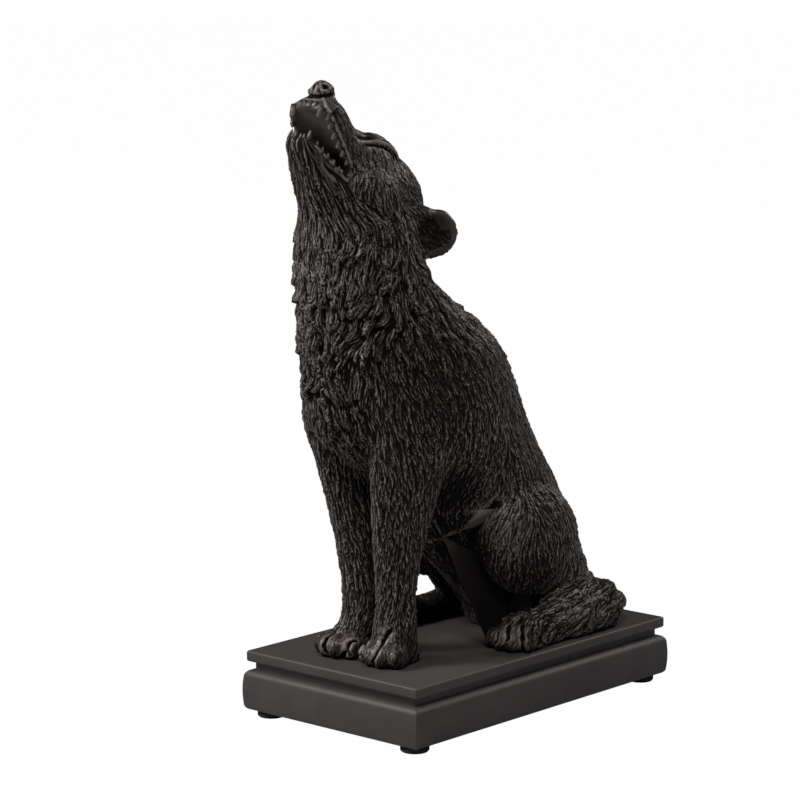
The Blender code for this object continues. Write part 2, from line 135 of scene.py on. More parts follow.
# Ridges and creases on the skin: height, half width, half width with no hair, then a line in pixels
FOLDS = [
    # Lips
    (0.45, 0.55, 0.7, [(323, 99), (327, 108), (333, 120), (338, 131), (344, 144), (349, 157), (351, 168)]),
    (0.30, 0.5, 0.9, [(317, 147), (324, 155), (332, 163), (341, 171), (348, 175)]),
    (0.0, 1.0, 1.8, [(322, 156), (330, 164), (338, 171), (346, 178)]),
    # Brow and eye
    (0.5, 1.0, 0.8, [(361, 142), (370, 141), (378, 141), (386, 143.5), (392, 148), (398, 157)]),
    (-0.9, 0.42, 0.0, [(367, 144.7), (373, 145), (378, 145.8), (386, 148.5), (392, 154), (394.5, 160)]),
    (-1.3, 1.9, 2.2, [(360, 135.5), (364, 136.5), (369, 137)]),
    (-0.5, 0.5, 0.0, [(394, 153), (398, 162), (403, 172)]),
    # Nose
    (0.5, 2.0, 0.0, [(325, 85.6), (325.4, 86)]),
    (-2.6, 1.1, 0.0, [(325, 85.6), (325.4, 86)]),
    (0.4, 0.6, 0.0, [(317.5, 80.5), (316.6, 86), (315, 92.5)]),
    (-0.6, 0.5, 0.0, [(308, 95.5), (314, 96.5), (321, 96.5), (327, 96), (331, 94.5)]),
    (-0.9, 0.6, 0.0, [(331.6, 94.3), (332, 94.6)]),
    # Lower jaw
    (0.0, 1.0, 0.9, [(324, 170), (327, 177), (331, 186), (336, 194)]),
    # Before the thigh, and along the belly
    (
        -1.3,
        1.9,
        0.0,
        [(497, 505), (485, 514), (478, 524), (472, 535), (471, 547), (474, 560), (481, 573), (491, 585)],
    ),
    (1.0, 0.8, 0.0, [(434, 520), (440, 529), (448, 543), (454, 557), (460, 575)]),
    # Ear
    (
        0.0,
        0.7,
        2.2,
        [(425, 203.5), (433, 206), (441, 209), (447, 215), (452, 224), (456, 233), (456, 240)],
    ),
    (0.0, 1.0, 2.4, [(456, 238), (452, 246), (444, 251), (436, 254.5), (430, 256)]),
    (0.0, 1.0, 2.6, [(433, 212), (440, 217), (445, 225)]),
    # Between the toes of the forepaw, then of the hind paw
    (-2.2, 0.75, 0.0, [(389, 632), (383, 641), (378, 648), (374.5, 656), (373, 663)]),
    (-2.2, 0.75, 0.0, [(372, 636), (364, 644), (358, 653), (355, 662)]),
    (-2.2, 0.75, 0.0, [(352, 640), (346, 650), (342, 659)]),
    (-1.9, 0.75, 0.0, [(508.5, 627), (507.5, 638), (506.5, 651)]),
    (-1.9, 0.75, 0.0, [(522.5, 627), (522.5, 638), (523.5, 650)]),
    (-2.2, 0.75, 0.0, [(497, 631), (495.5, 640), (494.5, 650)]),
]

# Which way the hair runs: style, then the pixels of a root and of a tip
GUIDES = [
    ("lines", (290, 143), (292, 151)),
    ("lines", (306, 139), (319, 158)),
    ("lines", (316, 150), (333, 186)),
    ("lines", (295, 158), (302, 181)),
    ("lines", (302, 186), (304, 209)),
    ("lines", (323, 179), (336, 207)),
    ("lines", (316, 214), (318, 235)),
    ("neck", (339, 221), (346, 242)),
    ("lines", (344, 186), (355, 206)),
    ("neck", (358, 203), (376, 219)),
    ("neck", (367, 212), (381, 223)),
    ("neck", (306, 235), (305, 256)),
    ("neck", (351, 235), (350, 256)),
    ("face", (358, 150), (364, 172)),
    ("face", (372, 158), (376, 175)),
    ("face", (386, 167), (395, 183)),
    ("face", (400, 179), (411, 197)),
    ("neck", (381, 186), (382, 202)),
    ("neck", (364, 186), (362, 200)),
    ("neck", (393, 200), (397, 219)),
    ("face", (411, 186), (423, 200)),
    ("neck", (386, 221), (390, 240)),
    ("neck", (407, 228), (409, 249)),
    ("muzzle", (333, 105), (343, 127)),
    ("muzzle", (343, 122), (351, 144)),
    ("muzzle", (350, 133), (358, 150)),
    ("face", (400, 162), (409, 180)),
    ("ear", (421, 214), (427, 226)),
    ("ear", (431, 225), (438, 238)),
    ("ear", (441, 216), (449, 228)),
    ("ear", (432, 246), (440, 250)),
    ("neck", (421, 259), (428, 275)),
    ("ruff", (372, 235), (367, 254)),
    ("ruff", (358, 249), (350, 268)),
    ("ruff", (393, 256), (390, 275)),
    ("neck", (314, 223), (315, 244)),
    ("ruff", (346, 229), (348, 250)),
    ("ruff", (321, 261), (317, 276)),
    ("ruff", (352, 269), (344, 286)),
    ("ruff", (382, 254), (375, 273)),
    ("ruff", (394, 280), (386, 299)),
    ("ruff", (367, 299), (356, 315)),
    ("ruff", (336, 307), (331, 324)),
    ("ruff", (308, 286), (304, 307)),
    ("ruff", (310, 324), (310, 345)),
    ("neck", (423, 263), (432, 282)),
    ("ruff", (413, 282), (417, 303)),
    ("coat", (442, 299), (461, 322)),
    ("ruff", (383, 315), (373, 332)),
    ("ruff", (352, 330), (340, 347)),
    ("ruff", (398, 315), (401, 334)),
    ("coat", (424, 322), (436, 345)),
    ("coat", (470, 330), (486, 353)),
    ("coat", (490, 345), (501, 368)),
    ("coat", (375, 349), (375, 368)),
    ("ruff", (346, 363), (340, 382)),
    ("ruff", (321, 353), (323, 376)),
    ("ruff", (308, 363), (312, 384)),
    ("ruff", (323, 380), (342, 403)),
    ("ruff", (337, 401), (350, 439)),
    ("coat", (394, 363), (401, 386)),
    ("coat", (423, 363), (432, 387)),
    ("coat", (451, 363), (463, 386)),
    ("coat", (480, 368), (490, 391)),
    ("coat", (509, 382), (516, 407)),
    ("coat", (375, 391), (377, 414)),
    ("coat", (403, 401), (411, 426)),
    ("coat", (432, 407), (440, 431)),
    ("coat", (467, 407), (467, 431)),
    ("coat", (495, 410), (495, 435)),
    ("leg", (367, 430), (367, 458)),
    ("leg", (390, 439), (396, 468)),
    ("coat", (417, 449), (423, 472)),
    ("coat", (442, 458), (436, 477)),
    ("coat", (467, 458), (455, 481)),
    ("coat", (490, 449), (480, 474)),
    ("coat", (518, 439), (528, 468)),
    ("coat", (537, 468), (551, 495)),
    ("leg", (317, 420), (321, 449)),
    ("leg", (337, 449), (344, 477)),
    ("leg", (323, 468), (329, 493)),
    ("leg", (336, 509), (345, 543)),
    ("leg", (350, 537), (362, 572)),
    ("leg", (345, 580), (345, 609)),
    ("leg", (379, 497), (382, 532)),
    ("leg", (402, 497), (405, 532)),
    ("leg", (385, 552), (382, 586)),
    ("leg", (408, 537), (402, 572)),
    ("leg", (391, 595), (385, 624)),
    ("paw", (351, 624), (345, 652)),
    ("paw", (379, 629), (368, 652)),
    ("paw", (396, 629), (391, 658)),
    ("thigh", (503, 506), (489, 532)),
    ("thigh", (517, 500), (500, 530)),
    ("thigh", (489, 532), (486, 558)),
    ("thigh", (510, 540), (505, 566)),
    ("thigh", (530, 510), (523, 540)),
    ("thigh", (540, 505), (556, 528)),
    ("thigh", (550, 540), (552, 558)),
    ("thigh", (561, 555), (552, 576)),
    ("thigh", (535, 560), (535, 585)),
    ("coat", (561, 500), (568, 528)),
    ("coat", (570, 525), (577, 556)),
    ("tail", (612, 590), (603, 612)),
    ("tail", (598, 586), (583, 600)),
    ("tail", (582, 588), (562, 602)),
    ("tail", (579, 602), (550, 620)),
    ("tail", (583, 614), (560, 636)),
    ("tail", (600, 608), (588, 632)),
    ("tail", (560, 600), (540, 616)),
    ("paw", (502, 628), (492, 646)),
    ("paw", (516, 630), (510, 648)),
    ("paw", (530, 632), (528, 648)),
]

# Hair that the photograph doesn't show: style, place and direction in wolf coordinates
FAR_GUIDES = [
    ("muzzle", (0, -78, 222), (0, 0.5, -0.8)),
    ("face", (4, -52, 205), (0.05, 0.75, -0.65)),
    ("face", (8, -38, 196), (0.1, 0.4, -0.9)),
    ("neck", (0, -33, 180), (0, 0.1, -1)),
    ("neck", (0, -22, 150), (0, 0.55, -0.85)),
    ("coat", (0, -2, 132), (0, 0.65, -0.75)),
    ("coat", (0, 15, 115), (0, 0.5, -0.85)),
    ("coat", (0, 34, 80), (0, 0.4, -0.9)),
    ("coat", (0, 55, 45), (0, 0.4, -0.9)),
    ("coat", (0, 73, 12), (0, 0.3, -1)),
    ("ruff", (0, -86, 150), (0, 0, -1)),
    ("ruff", (0, -85, 125), (0, 0, -1)),
    ("ruff", (0, -78, 98), (0, 0.2, -1)),
    ("lines", (0, -92, 200), (0, 0.2, -1)),
    ("coat", (0, -20, 48), (0, 0.6, -0.7)),
]


def to_world(point):
    """Wolf coordinates in millimetres to metres in the scene."""
    x, y, z = point
    return Vector((x, y + MUZZLE_SHIFT, z + SLAB_TOP)) * MM


def wolf_points(points):
    """Scene points in metres to wolf coordinates."""
    return points / MM - np.array([0.0, MUZZLE_SHIFT, SLAB_TOP])


def camera_axes():
    aim = Vector(CAMERA_AIM).normalized()
    right = aim.cross(Vector((0, 0, 1))).normalized()
    return aim, right, right.cross(aim)


def pixel_ray(u, v):
    """Direction from the camera through a pixel of the photograph."""
    aim, right, up = camera_axes()
    middle = PHOTO_SIDE / 2
    return (aim + right * ((u - middle) / FOCAL_PIXELS) + up * ((middle - v) / FOCAL_PIXELS)).normalized()


def seen(tree, pixel):
    """Place in the scene and facing of the skin under a pixel, or None twice where there is no skin."""
    return tree.ray_cast(Vector(CAMERA_PLACE) * MM, pixel_ray(*pixel))[:2]


def nearest(tree, points):
    """Places on the skin nearest to points, and their facings, in wolf coordinates."""
    found = [tree.find_nearest(to_world(point)) for point in points]
    return wolf_points(np.array([hit[0] for hit in found])), np.array([hit[1] for hit in found])


# Mesh tools


def new_object(name, data):
    made = bpy.data.objects.new(name, data)
    bpy.context.scene.collection.objects.link(made)
    return made


def from_bmesh(name, bm):
    mesh = bpy.data.meshes.new(name)
    bm.to_mesh(mesh)
    bm.free()
    return new_object(name, mesh)


def applied(obj):
    """Applies the modifiers of an object."""
    graph = bpy.context.evaluated_depsgraph_get()
    graph.update()
    mesh = bpy.data.meshes.new_from_object(obj.evaluated_get(graph))
    obj.modifiers.clear()
    obj.data = mesh
    return obj


def remesh(obj, size):
    step = obj.modifiers.new("melt", "REMESH")
    step.mode = "VOXEL"
    step.voxel_size = size * MM
    return applied(obj)


def soften(obj, rounds):
    step = obj.modifiers.new("soften", "SMOOTH")
    step.iterations = rounds
    return applied(obj)


def refine(obj):
    step = obj.modifiers.new("refine", "SUBSURF")
    step.levels = 1
    step.render_levels = 1
    return applied(obj)


def common(obj, other):
    """What two solids share."""
    step = obj.modifiers.new("join", "BOOLEAN")
    step.operation = "INTERSECT"
    step.solver = "EXACT"
    step.object = other
    return applied(obj)


def discard(obj):
    bpy.data.objects.remove(obj, do_unlink=True)


def vectors(data, attribute):
    flat = np.empty(len(data) * 3)
    data.foreach_get(attribute, flat)
    return flat.reshape(-1, 3)


def skin_points(obj):
    return vectors(obj.data.vertices, "co"), vectors(obj.data.vertex_normals, "vector")


def move_points(obj, points):
    obj.data.vertices.foreach_set("co", points.ravel())
    obj.data.update()


def store(obj, name, values):
    layer = obj.data.attributes.get(name) or obj.data.attributes.new(name, "FLOAT", "POINT")
    layer.data.foreach_set("value", values.astype(np.float32))


def stored(obj, name):
    values = np.empty(len(obj.data.vertices), np.float32)
    obj.data.attributes[name].data.foreach_get("value", values)
    return values


def box_between(name, low, high):
    """Box with corners in wolf coordinates."""
    bm = bmesh.new()
    bmesh.ops.create_cube(bm, size=1.0)
    middle = (to_world(low) + to_world(high)) / 2
    size = to_world(high) - to_world(low)
    bmesh.ops.scale(bm, vec=size, verts=bm.verts)
    bmesh.ops.translate(bm, vec=middle, verts=bm.verts)
    return from_bmesh(name, bm)


def close_rings(bm, rings):
    """Faces between rings of points, and a cap at each end."""
    for low, high in zip(rings, rings[1:]):
        for i in range(len(low)):
            j = (i + 1) % len(low)
            bm.faces.new((low[i], low[j], high[j], high[i]))
    bm.faces.new(rings[0][::-1])
    bm.faces.new(rings[-1])


def smooth_step(low, high, value):
    t = np.clip((value - low) / (high - low), 0, 1)
    return t * t * (3 - 2 * t)


# Skins


def over_slab():
    """Copy of the casting over the slab, its split points welded."""
    bm = bmesh.new()
    bm.from_mesh(frame["nodes"]["casting"].data)
    bmesh.ops.remove_doubles(bm, verts=bm.verts, dist=TINY)
    made = from_bmesh("wolf_skin", bm)
    keep = box_between("keep", *WOLF_BOX)
    common(made, keep)
    discard(keep)
    return made


def wolf_skin():
    """The casting over the slab, its feet carried down into the slab."""
    skin = over_slab()
    sole = to_world((0, 0, FOOT_CUT)).z
    for vertex in skin.data.vertices:
        if abs(vertex.co.z - sole) < 10 * TINY:
            vertex.co.z -= FOOT_DEPTH * MM
    remesh(skin, GRAIN)
    soften(skin, SOFTENING)
    return skin


# Hair


def guide_table(tree):
    """Places, directions, facings and looks of the guides, all but the tail's mirrored."""
    rows = []
    for style, root, tip in GUIDES:
        start, facing = seen(tree, root)
        stop = seen(tree, tip)[0]
        place = wolf_points(np.array((start + stop) / 2))
        rows.append((place, np.array(stop - start), np.array(facing), style))
    for style, about, way in FAR_GUIDES:
        place, facing = nearest(tree, [about])
        rows.append((place[0], np.array(way, float), facing[0], style))
    rows += [(p * MIRROR, d * MIRROR, n * MIRROR, s) for p, d, n, s in rows if s != "tail"]
    places = np.array([r[0] for r in rows])
    ways = np.array([r[1] / np.linalg.norm(r[1]) for r in rows])
    facings = np.array([r[2] for r in rows])
    looks = np.array([STYLES[r[3]] for r in rows])
    return places, ways, facings, looks


# Guides are read by so many points at once; a guide counts for so much where it faces away,
# and its pull levels off within this many square millimetres
BATCH = 8000
FACING_AWAY = 0.06
GUIDE_BLUR = 20.0


def read_guides(guides, points, normals):
    """Hair direction and style at points in wolf coordinates."""
    places, ways, facings, looks = guides
    way = np.empty_like(points)
    look = np.empty((len(points), looks.shape[1]))
    for start in range(0, len(points), BATCH):
        part = slice(start, start + BATCH)
        p = points[part]
        gaps = (p**2).sum(1)[:, None] + (places**2).sum(1)[None] - 2 * p @ places.T
        agree = FACING_AWAY + np.clip(normals[part] @ facings.T, 0, 1)
        weight = (agree / (np.maximum(gaps, 0) + GUIDE_BLUR)) ** 2
        weight /= weight.sum(1)[:, None]
        way[part] = weight @ ways
        look[part] = weight @ looks
    way -= normals * (way * normals).sum(1)[:, None]
    way /= np.maximum(np.linalg.norm(way, axis=1), TINY)[:, None]
    turn = (SWIRL * look[:, LOCK[2]] * np.sin(points @ WAVES.T + PHASES).sum(1))[:, None]
    return way * np.cos(turn) + np.cross(normals, way) * np.sin(turn), look


# Places with no hair: centre, radii and how soft the edge is
BALD = [
    ((0, -86, 230.5), (6.6, 6.4, 5.0), 0.35),
    ((9.5, -61, 210.0), (4.6, 5.0, 2.6), 0.5),
    ((-9.5, -61, 210.0), (4.6, 5.0, 2.6), 0.5),
    ((24.0, -42.0, 161.5), (6.0, 9.0, 3.0), 0.3),
    ((-24.0, -42.0, 161.5), (6.0, 9.0, 3.0), 0.3),
]

# Inside of the mouth: half its width, its heights, and the planes at its back and its bottom,
# each given by a place and a direction in y and z
MOUTH_HALF = 10.3
MOUTH_HEIGHTS = (186, 226)
MOUTH_BACK = ((-64, 190), (-36, -22))
MOUTH_BOTTOM = ((-79, 187), (24.5, 16.0))
JAW_CLEARANCE = 20

# Places given painted shade, and painted light where the number is negative: centre, radii, how much
PAINTED_SHADES = [
    ((24.0, -44.0, 171.5), (7.0, 9.0, 10.0), 0.28),
    ((-24.0, -44.0, 171.5), (7.0, 9.0, 10.0), 0.28),
    ((0, -70, 195.0), (11.0, 14.0, 14.0), 0.5),
    ((0, -84, 217.0), (11.0, 12.0, 13.0), -0.16),
]

# The same on the photographed side: how much, radius, pixel
# Painted shade and painted light, placed by pixel
PIXEL_PAINTED_SHADES = [
    (-0.18, 20, (380, 165)),
    (-0.10, 16, (345, 120)),
    (-0.20, 17, (508, 522)),
    (-0.18, 22, (582, 606)),
    (-0.10, 34, (340, 285)),
    (0.35, 15, (452, 492)),
    (-0.12, 12, (512, 640)),
    (-0.10, 14, (380, 645)),
    (0.40, 17, (462, 540)),
    (0.35, 13, (447, 585)),
    (0.22, 14, (535, 578)),
    (0.16, 28, (445, 390)),
]
SHADE_CORE = 0.4

# Lumps of the nose: their height, and how far over it they keep it
LEATHER = 0.16
LEATHER_CORE = 0.8


def past(y, z, plane):
    """How far points lie past a plane across the wolf."""
    (place_y, place_z), (way_y, way_z) = plane
    return (y - place_y) * way_y + (z - place_z) * way_z


def bare(points):
    """1 where the skin carries no hair: nose, brows and the inside of the mouth."""
    share = np.zeros(len(points))
    for centre, radii, edge in BALD:
        reach = np.linalg.norm((points - centre) / radii, axis=1)
        share = np.maximum(share, 1 - smooth_step(1 - edge, 1, reach))
    x, y, z = points.T
    inside = (np.abs(x) < MOUTH_HALF) & (z > MOUTH_HEIGHTS[0]) & (z < MOUTH_HEIGHTS[1])
    inside &= (past(y, z, MOUTH_BACK) > 0) & (past(y, z, MOUTH_BOTTOM) > JAW_CLEARANCE)
    return np.maximum(share, inside.astype(float))


def painted_light_places(tree):
    """Every place of painted shade and painted light in wolf coordinates, those given by pixel mirrored to
    the far side.
    """
    places = list(PAINTED_SHADES)
    for amount, radius, pixel in PIXEL_PAINTED_SHADES:
        centre = wolf_points(np.array(seen(tree, pixel)[0]))
        places.append((centre, (radius, radius, radius), amount))
        places.append((centre * MIRROR, (radius, radius, radius), amount))
    return places


def painted_shading(points, places):
    """How much painted shade each point gets, less where painted light lifts it."""
    total = np.zeros(len(points))
    for centre, radii, amount in places:
        reach = np.linalg.norm((points - centre) / radii, axis=1)
        total += amount * (1 - smooth_step(SHADE_CORE, 1, reach))
    return total


def leather(points):
    """Lumps of the nose."""
    x, y, z = points.T
    reach = np.linalg.norm((points - BALD[0][0]) / BALD[0][1], axis=1)
    lumps = np.sin(2.6 * x + 0.8 * z) * np.sin(2.2 * y + 1.1) + 0.7 * np.sin(1.9 * z + 1.3 * x + 0.5)
    return LEATHER * lumps * (1 - smooth_step(LEATHER_CORE, 1, reach))


class Grid:
    """Finds the points of a skin near a place."""

    def __init__(self, points, cell):
        self.cell = cell
        self.low = points.min(0) - cell
        index = ((points - self.low) / cell).astype(np.int64)
        self.size = index.max(0) + 2
        key = (index[:, 0] * self.size[1] + index[:, 1]) * self.size[2] + index[:, 2]
        self.order = np.argsort(key, kind="stable")
        self.starts = np.searchsorted(key[self.order], np.arange(np.prod(self.size) + 1))

    def near(self, low, high):
        a = np.clip(((low - self.low) / self.cell).astype(int), 0, self.size - 1)
        b = np.clip(((high - self.low) / self.cell).astype(int), 0, self.size - 1)
        runs = []
        for i in range(a[0], b[0] + 1):
            for j in range(a[1], b[1] + 1):
                row = (i * self.size[1] + j) * self.size[2]
                start = self.starts[row + a[2]]
                stop = self.starts[row + b[2] + 1]
                if stop > start:
                    runs.append(self.order[start:stop])
        return np.concatenate(runs) if runs else np.empty(0, np.int64)


# Strokes: their knots, how far their order strays from their height, and how they vary
STEPS = 4
KNOTS = np.linspace(0, 1, STEPS + 1)
ORDER_STRAY = 2.0
LENGTHS = (0.7, 1.3)
WIDTHS = (0.75, 1.25)
HEIGHTS = (0.55, 1.2)
LEAN = 0.7
SWAY = (0.7, 0.2)
SWAY_START = 0.3

# Waves of the rows of tall locks, how they slant, and the lock heights that are gathered
WAVER_WAVES = (0.31, 0.23)
WAVER_NOISE = 0.7
SLANT = (0.74, 0.65)
TALL = (0.9, 1.4)

# Size of the cells that spread the roots evenly
SCATTER_CELL = 2.2


def comb(tree, guides, seeds, sizes, wander):
    """Strokes along the hair from their roots: knots on the skin, facings, widths and heights.

    They come from the lowest root to the highest, so that each lies over those below it.
    """
    stray = RNG.normal(0, ORDER_STRAY, len(seeds))
    seeds = seeds[np.argsort(seeds[:, 2] + stray, kind="stable")]
    found = nearest(tree, seeds)[1]
    way, look = read_guides(guides, seeds, found)
    count = len(seeds)
    length = look[:, sizes[0]] * RNG.uniform(*LENGTHS, count)
    sway = RNG.normal(0, wander, count) * (SWAY[0] + SWAY[1] * look[:, LOCK[2]])
    lean = RNG.normal(0, LEAN * wander, count)
    points = [seeds]
    facings = [found]
    for step in range(STEPS):
        turn = (lean + sway * (step / STEPS - SWAY_START))[:, None]
        aside = np.cross(facings[-1], way)
        place, facing = nearest(tree, points[-1] + (way + aside * turn) * (length / STEPS)[:, None])
        points.append(place)
        facings.append(facing)
        way, _ = read_guides(guides, place, facing)
    widths = look[:, sizes[1]] * RNG.uniform(*WIDTHS, count)
    heights = look[:, sizes[2]] * RNG.uniform(*HEIGHTS, count)
    return np.stack(points, 1), np.stack(facings, 1), widths, heights


def gather(tree, seeds, look):
    """Roots of tall locks brought together in slanting rows."""
    side, back, height = seeds.T
    noise = RNG.normal(0, WAVER_NOISE, len(seeds))
    waver = TIER_WAVER * np.sin(WAVER_WAVES[0] * side + WAVER_WAVES[1] * back) + noise
    level = height - TIER_SLOPE * (SLANT[0] * np.abs(side) + SLANT[1] * back) + waver
    step = np.round(level / TIER) * TIER - level
    moved = seeds.copy()
    moved[:, 2] += step * smooth_step(*TALL, look[:, LOCK[2]])
    return nearest(tree, moved)[0]


def scatter(points, chance):
    """Picks points evenly: each one's chance is summed along a walk through small cells."""
    cells = np.floor(points / SCATTER_CELL).astype(int)
    jumble = RNG.random(len(points))
    order = np.lexsort((jumble, cells[:, 2], cells[:, 1], cells[:, 0]))
    total = np.cumsum(chance[order])
    marks = np.arange(0.5, total[-1])
    return order[np.searchsorted(total, marks)]


# Shape of a stroke, along it from 0 at the root to 1 at the tip: how fast it widens, its share of
# height at the root, where it is highest, how short its tip falls and how round it is across
ROOT_TAPER = 3.5
ROOT_HEIGHT = 0.25
CREST = 0.75
TIP_DROP = 0.08
ROUNDNESS = 0.7

# Where along it a stroke hides what is below, and how much of that it presses down
HOLD = 0.4
LAYER_CLEAR = 0.8

# Strokes shorter than this, in square millimetres, are left out; a stroke shapes the skin only
# as deep as this from its line, and only where the skin faces its way by this much
SHORTEST = 0.5
DEEPEST = 3
LEAST_FACING = 0.2


def under_stroke(points, normals, ids, line, facing, width, point):
    """Which points a stroke covers, and how far along it and across it each one lies."""
    chord = line[-1] - line[0]
    side = np.cross(facing, chord)
    side /= max(np.linalg.norm(side), TINY)
    t = (points[ids] - line[0]) @ chord / (chord @ chord)
    ok = (t > 0) & (t < 1)
    ids, t = ids[ok], t[ok]
    off = points[ids] - np.stack([np.interp(t, KNOTS, line[:, k]) for k in range(3)], 1)
    taper = np.sqrt(np.minimum(1.0, ROOT_TAPER * t)) * (1 - point * t**3)
    q = off @ side / (0.5 * width * taper + TINY)
    ok = (np.abs(q) < 1) & (np.abs(off @ facing) < DEEPEST) & (normals[ids] @ facing > LEAST_FACING)
    return ids[ok], t[ok], q[ok]


def carve(points, normals, grid, strokes, grooved, point, relief, tone):
    """Lays each stroke over the skin and over those before it, with a groove at its edges or none.

    A stroke narrows to a tip as far as its point says.
    """
    shade = RNG.uniform(0, 1, len(strokes[0]))
    for i, (line, facings, width, tallest) in enumerate(zip(*strokes)):
        ids = grid.near(line.min(0) - width, line.max(0) + width)
        if ((line[-1] - line[0]) ** 2).sum() < SHORTEST or not len(ids):
            continue
        ids, t, q = under_stroke(points, normals, ids, line, facings[STEPS // 2], width, point)
        rise = ROOT_HEIGHT + (1 - ROOT_HEIGHT) * np.minimum(1, t / CREST)
        rise *= np.sqrt(np.clip((1 - t) / TIP_DROP, 0, 1))
        height = tallest * rise * np.cos(0.5 * math.pi * q) ** ROUNDNESS
        hold = smooth_step(0, HOLD, t)
        below = relief[ids]
        if grooved:
            relief[ids] = hold * height + (1 - hold) * np.maximum(height, below)
        else:
            relief[ids] = np.maximum(height, below * (1 - LAYER_CLEAR * hold * (1 - q**4)))
        tone[ids] = np.where(hold > 0.5, shade[i], tone[ids])


def spread(obj, values, rounds):
    """Values evened out with their neighbours' again and again."""
    ends = np.empty(len(obj.data.edges) * 2, np.int32)
    obj.data.edges.foreach_get("vertices", ends)
    a, b = ends.reshape(-1, 2).T
    count = len(values)
    near = np.maximum(np.bincount(a, minlength=count) + np.bincount(b, minlength=count), 1)
    for _ in range(rounds):
        total = np.bincount(a, values[b], count) + np.bincount(b, values[a], count)
        values = 0.5 * values + 0.5 * total / near
    return values


def fold_lines(tree):
    """Folds as lines in wolf coordinates, each one mirrored to the far side."""
    lines = []
    for height, width, hairless, pixels in FOLDS:
        hits = [seen(tree, pixel)[0] for pixel in pixels]
        line = wolf_points(np.array([hit for hit in hits if hit is not None]))
        lines.append((height, width, hairless, line))
        lines.append((height, width, hairless, line * MIRROR))
    return lines


def distance_to_line(points, line):
    best = np.full(len(points), 1e9)
    for a, b in zip(line, line[1:]):
        along = b - a
        t = np.clip((points - a) @ along / (along @ along), 0, 1)
        best = np.minimum(best, np.linalg.norm(points - a - t[:, None] * along, axis=1))
    return best


# Share of a fold's hairless width that carries no hair at all
BALD_CORE = 0.75


def fold(points, lines):
    """Height that the folds add at each point, and how hairless they leave it."""
    rise = np.zeros(len(points))
    hairless = np.zeros(len(points))
    for height, width, bald_width, line in lines:
        reach = 3 * width + bald_width
        close = (points > line.min(0) - reach) & (points < line.max(0) + reach)
        near = np.flatnonzero(np.all(close, axis=1))
        gap = distance_to_line(points[near], line)
        rise[near] += height * np.exp(-((gap / width) ** 2))
        if bald_width:
            bald = 1 - smooth_step(BALD_CORE * bald_width, bald_width, gap)
            hairless[near] = np.maximum(hairless[near], bald)
    return rise, hairless


# Hair starts this far over the slab, and is left out where it would stand less than this off the skin
FUR_BOTTOM = 0.4
FLATTEST = 0.12

# How far strokes wander off the way the hair runs
LOCK_WANDER = 0.2
HAIR_WANDER = 0.15

# How far locks and hairs narrow to their tips, and the share of their height that is sunk in the skin
LOCK_POINT = 0.55
HAIR_POINT = 0.85
LOCK_SUNK = 0.45
HAIR_SUNK = 0.5

# Size of the cells in which a stroke looks for points, and the height under which nothing is carved
GRID_CELL = 2.5
SOLE = -0.3

# Lightness of the relief, partly dry-brushed ridges and partly painted light: its level, how much hair
# darkens it, the height of fine relief whose grooves get painted shade and the depth of hollows with
# painted shade that count as 1, the most painted highlight that a bulge adds, how far each is evened out,
# and the painted shade near the slab
LIGHTNESS_LEVEL = 0.68
FUR_SHADE = 0.15
FINE_HEIGHT = 0.45
SHADED_HOLLOW_DEPTH = 0.85
BULGE_HIGHLIGHT_MOST = 0.1
FINE_ROUNDS = 10
BROAD_ROUNDS = 60
CONTACT_HEIGHT = 1.8
CONTACT_SHADE = 0.5


def grow_strokes(obj, tree, guides, lines):
    """Strokes of the locks and of the hairs, from roots spread over the skin."""
    world, normals = skin_points(obj)
    points = wolf_points(world)
    _, look = read_guides(guides, points, normals)
    bald = np.maximum(bare(points), fold(points, lines)[1])
    furry = GRAIN**2 * (bald < 0.5) * (points[:, 2] > FUR_BOTTOM)
    store(obj, "hair_height", look[:, HAIR[2]])
    store(obj, "lock_height", look[:, LOCK[2]])
    coats = []
    for sizes, wander in ((LOCK, LOCK_WANDER), (HAIR, HAIR_WANDER)):
        cover = np.where(look[:, sizes[2]] > FLATTEST, look[:, sizes[3]], 0)
        seeds = scatter(points, furry * cover / (look[:, sizes[0]] * look[:, sizes[1]]))
        roots = points[seeds]
        if sizes is LOCK:
            roots = gather(tree, roots, look[seeds])
        coats.append(comb(tree, guides, roots, sizes, wander))
    return coats


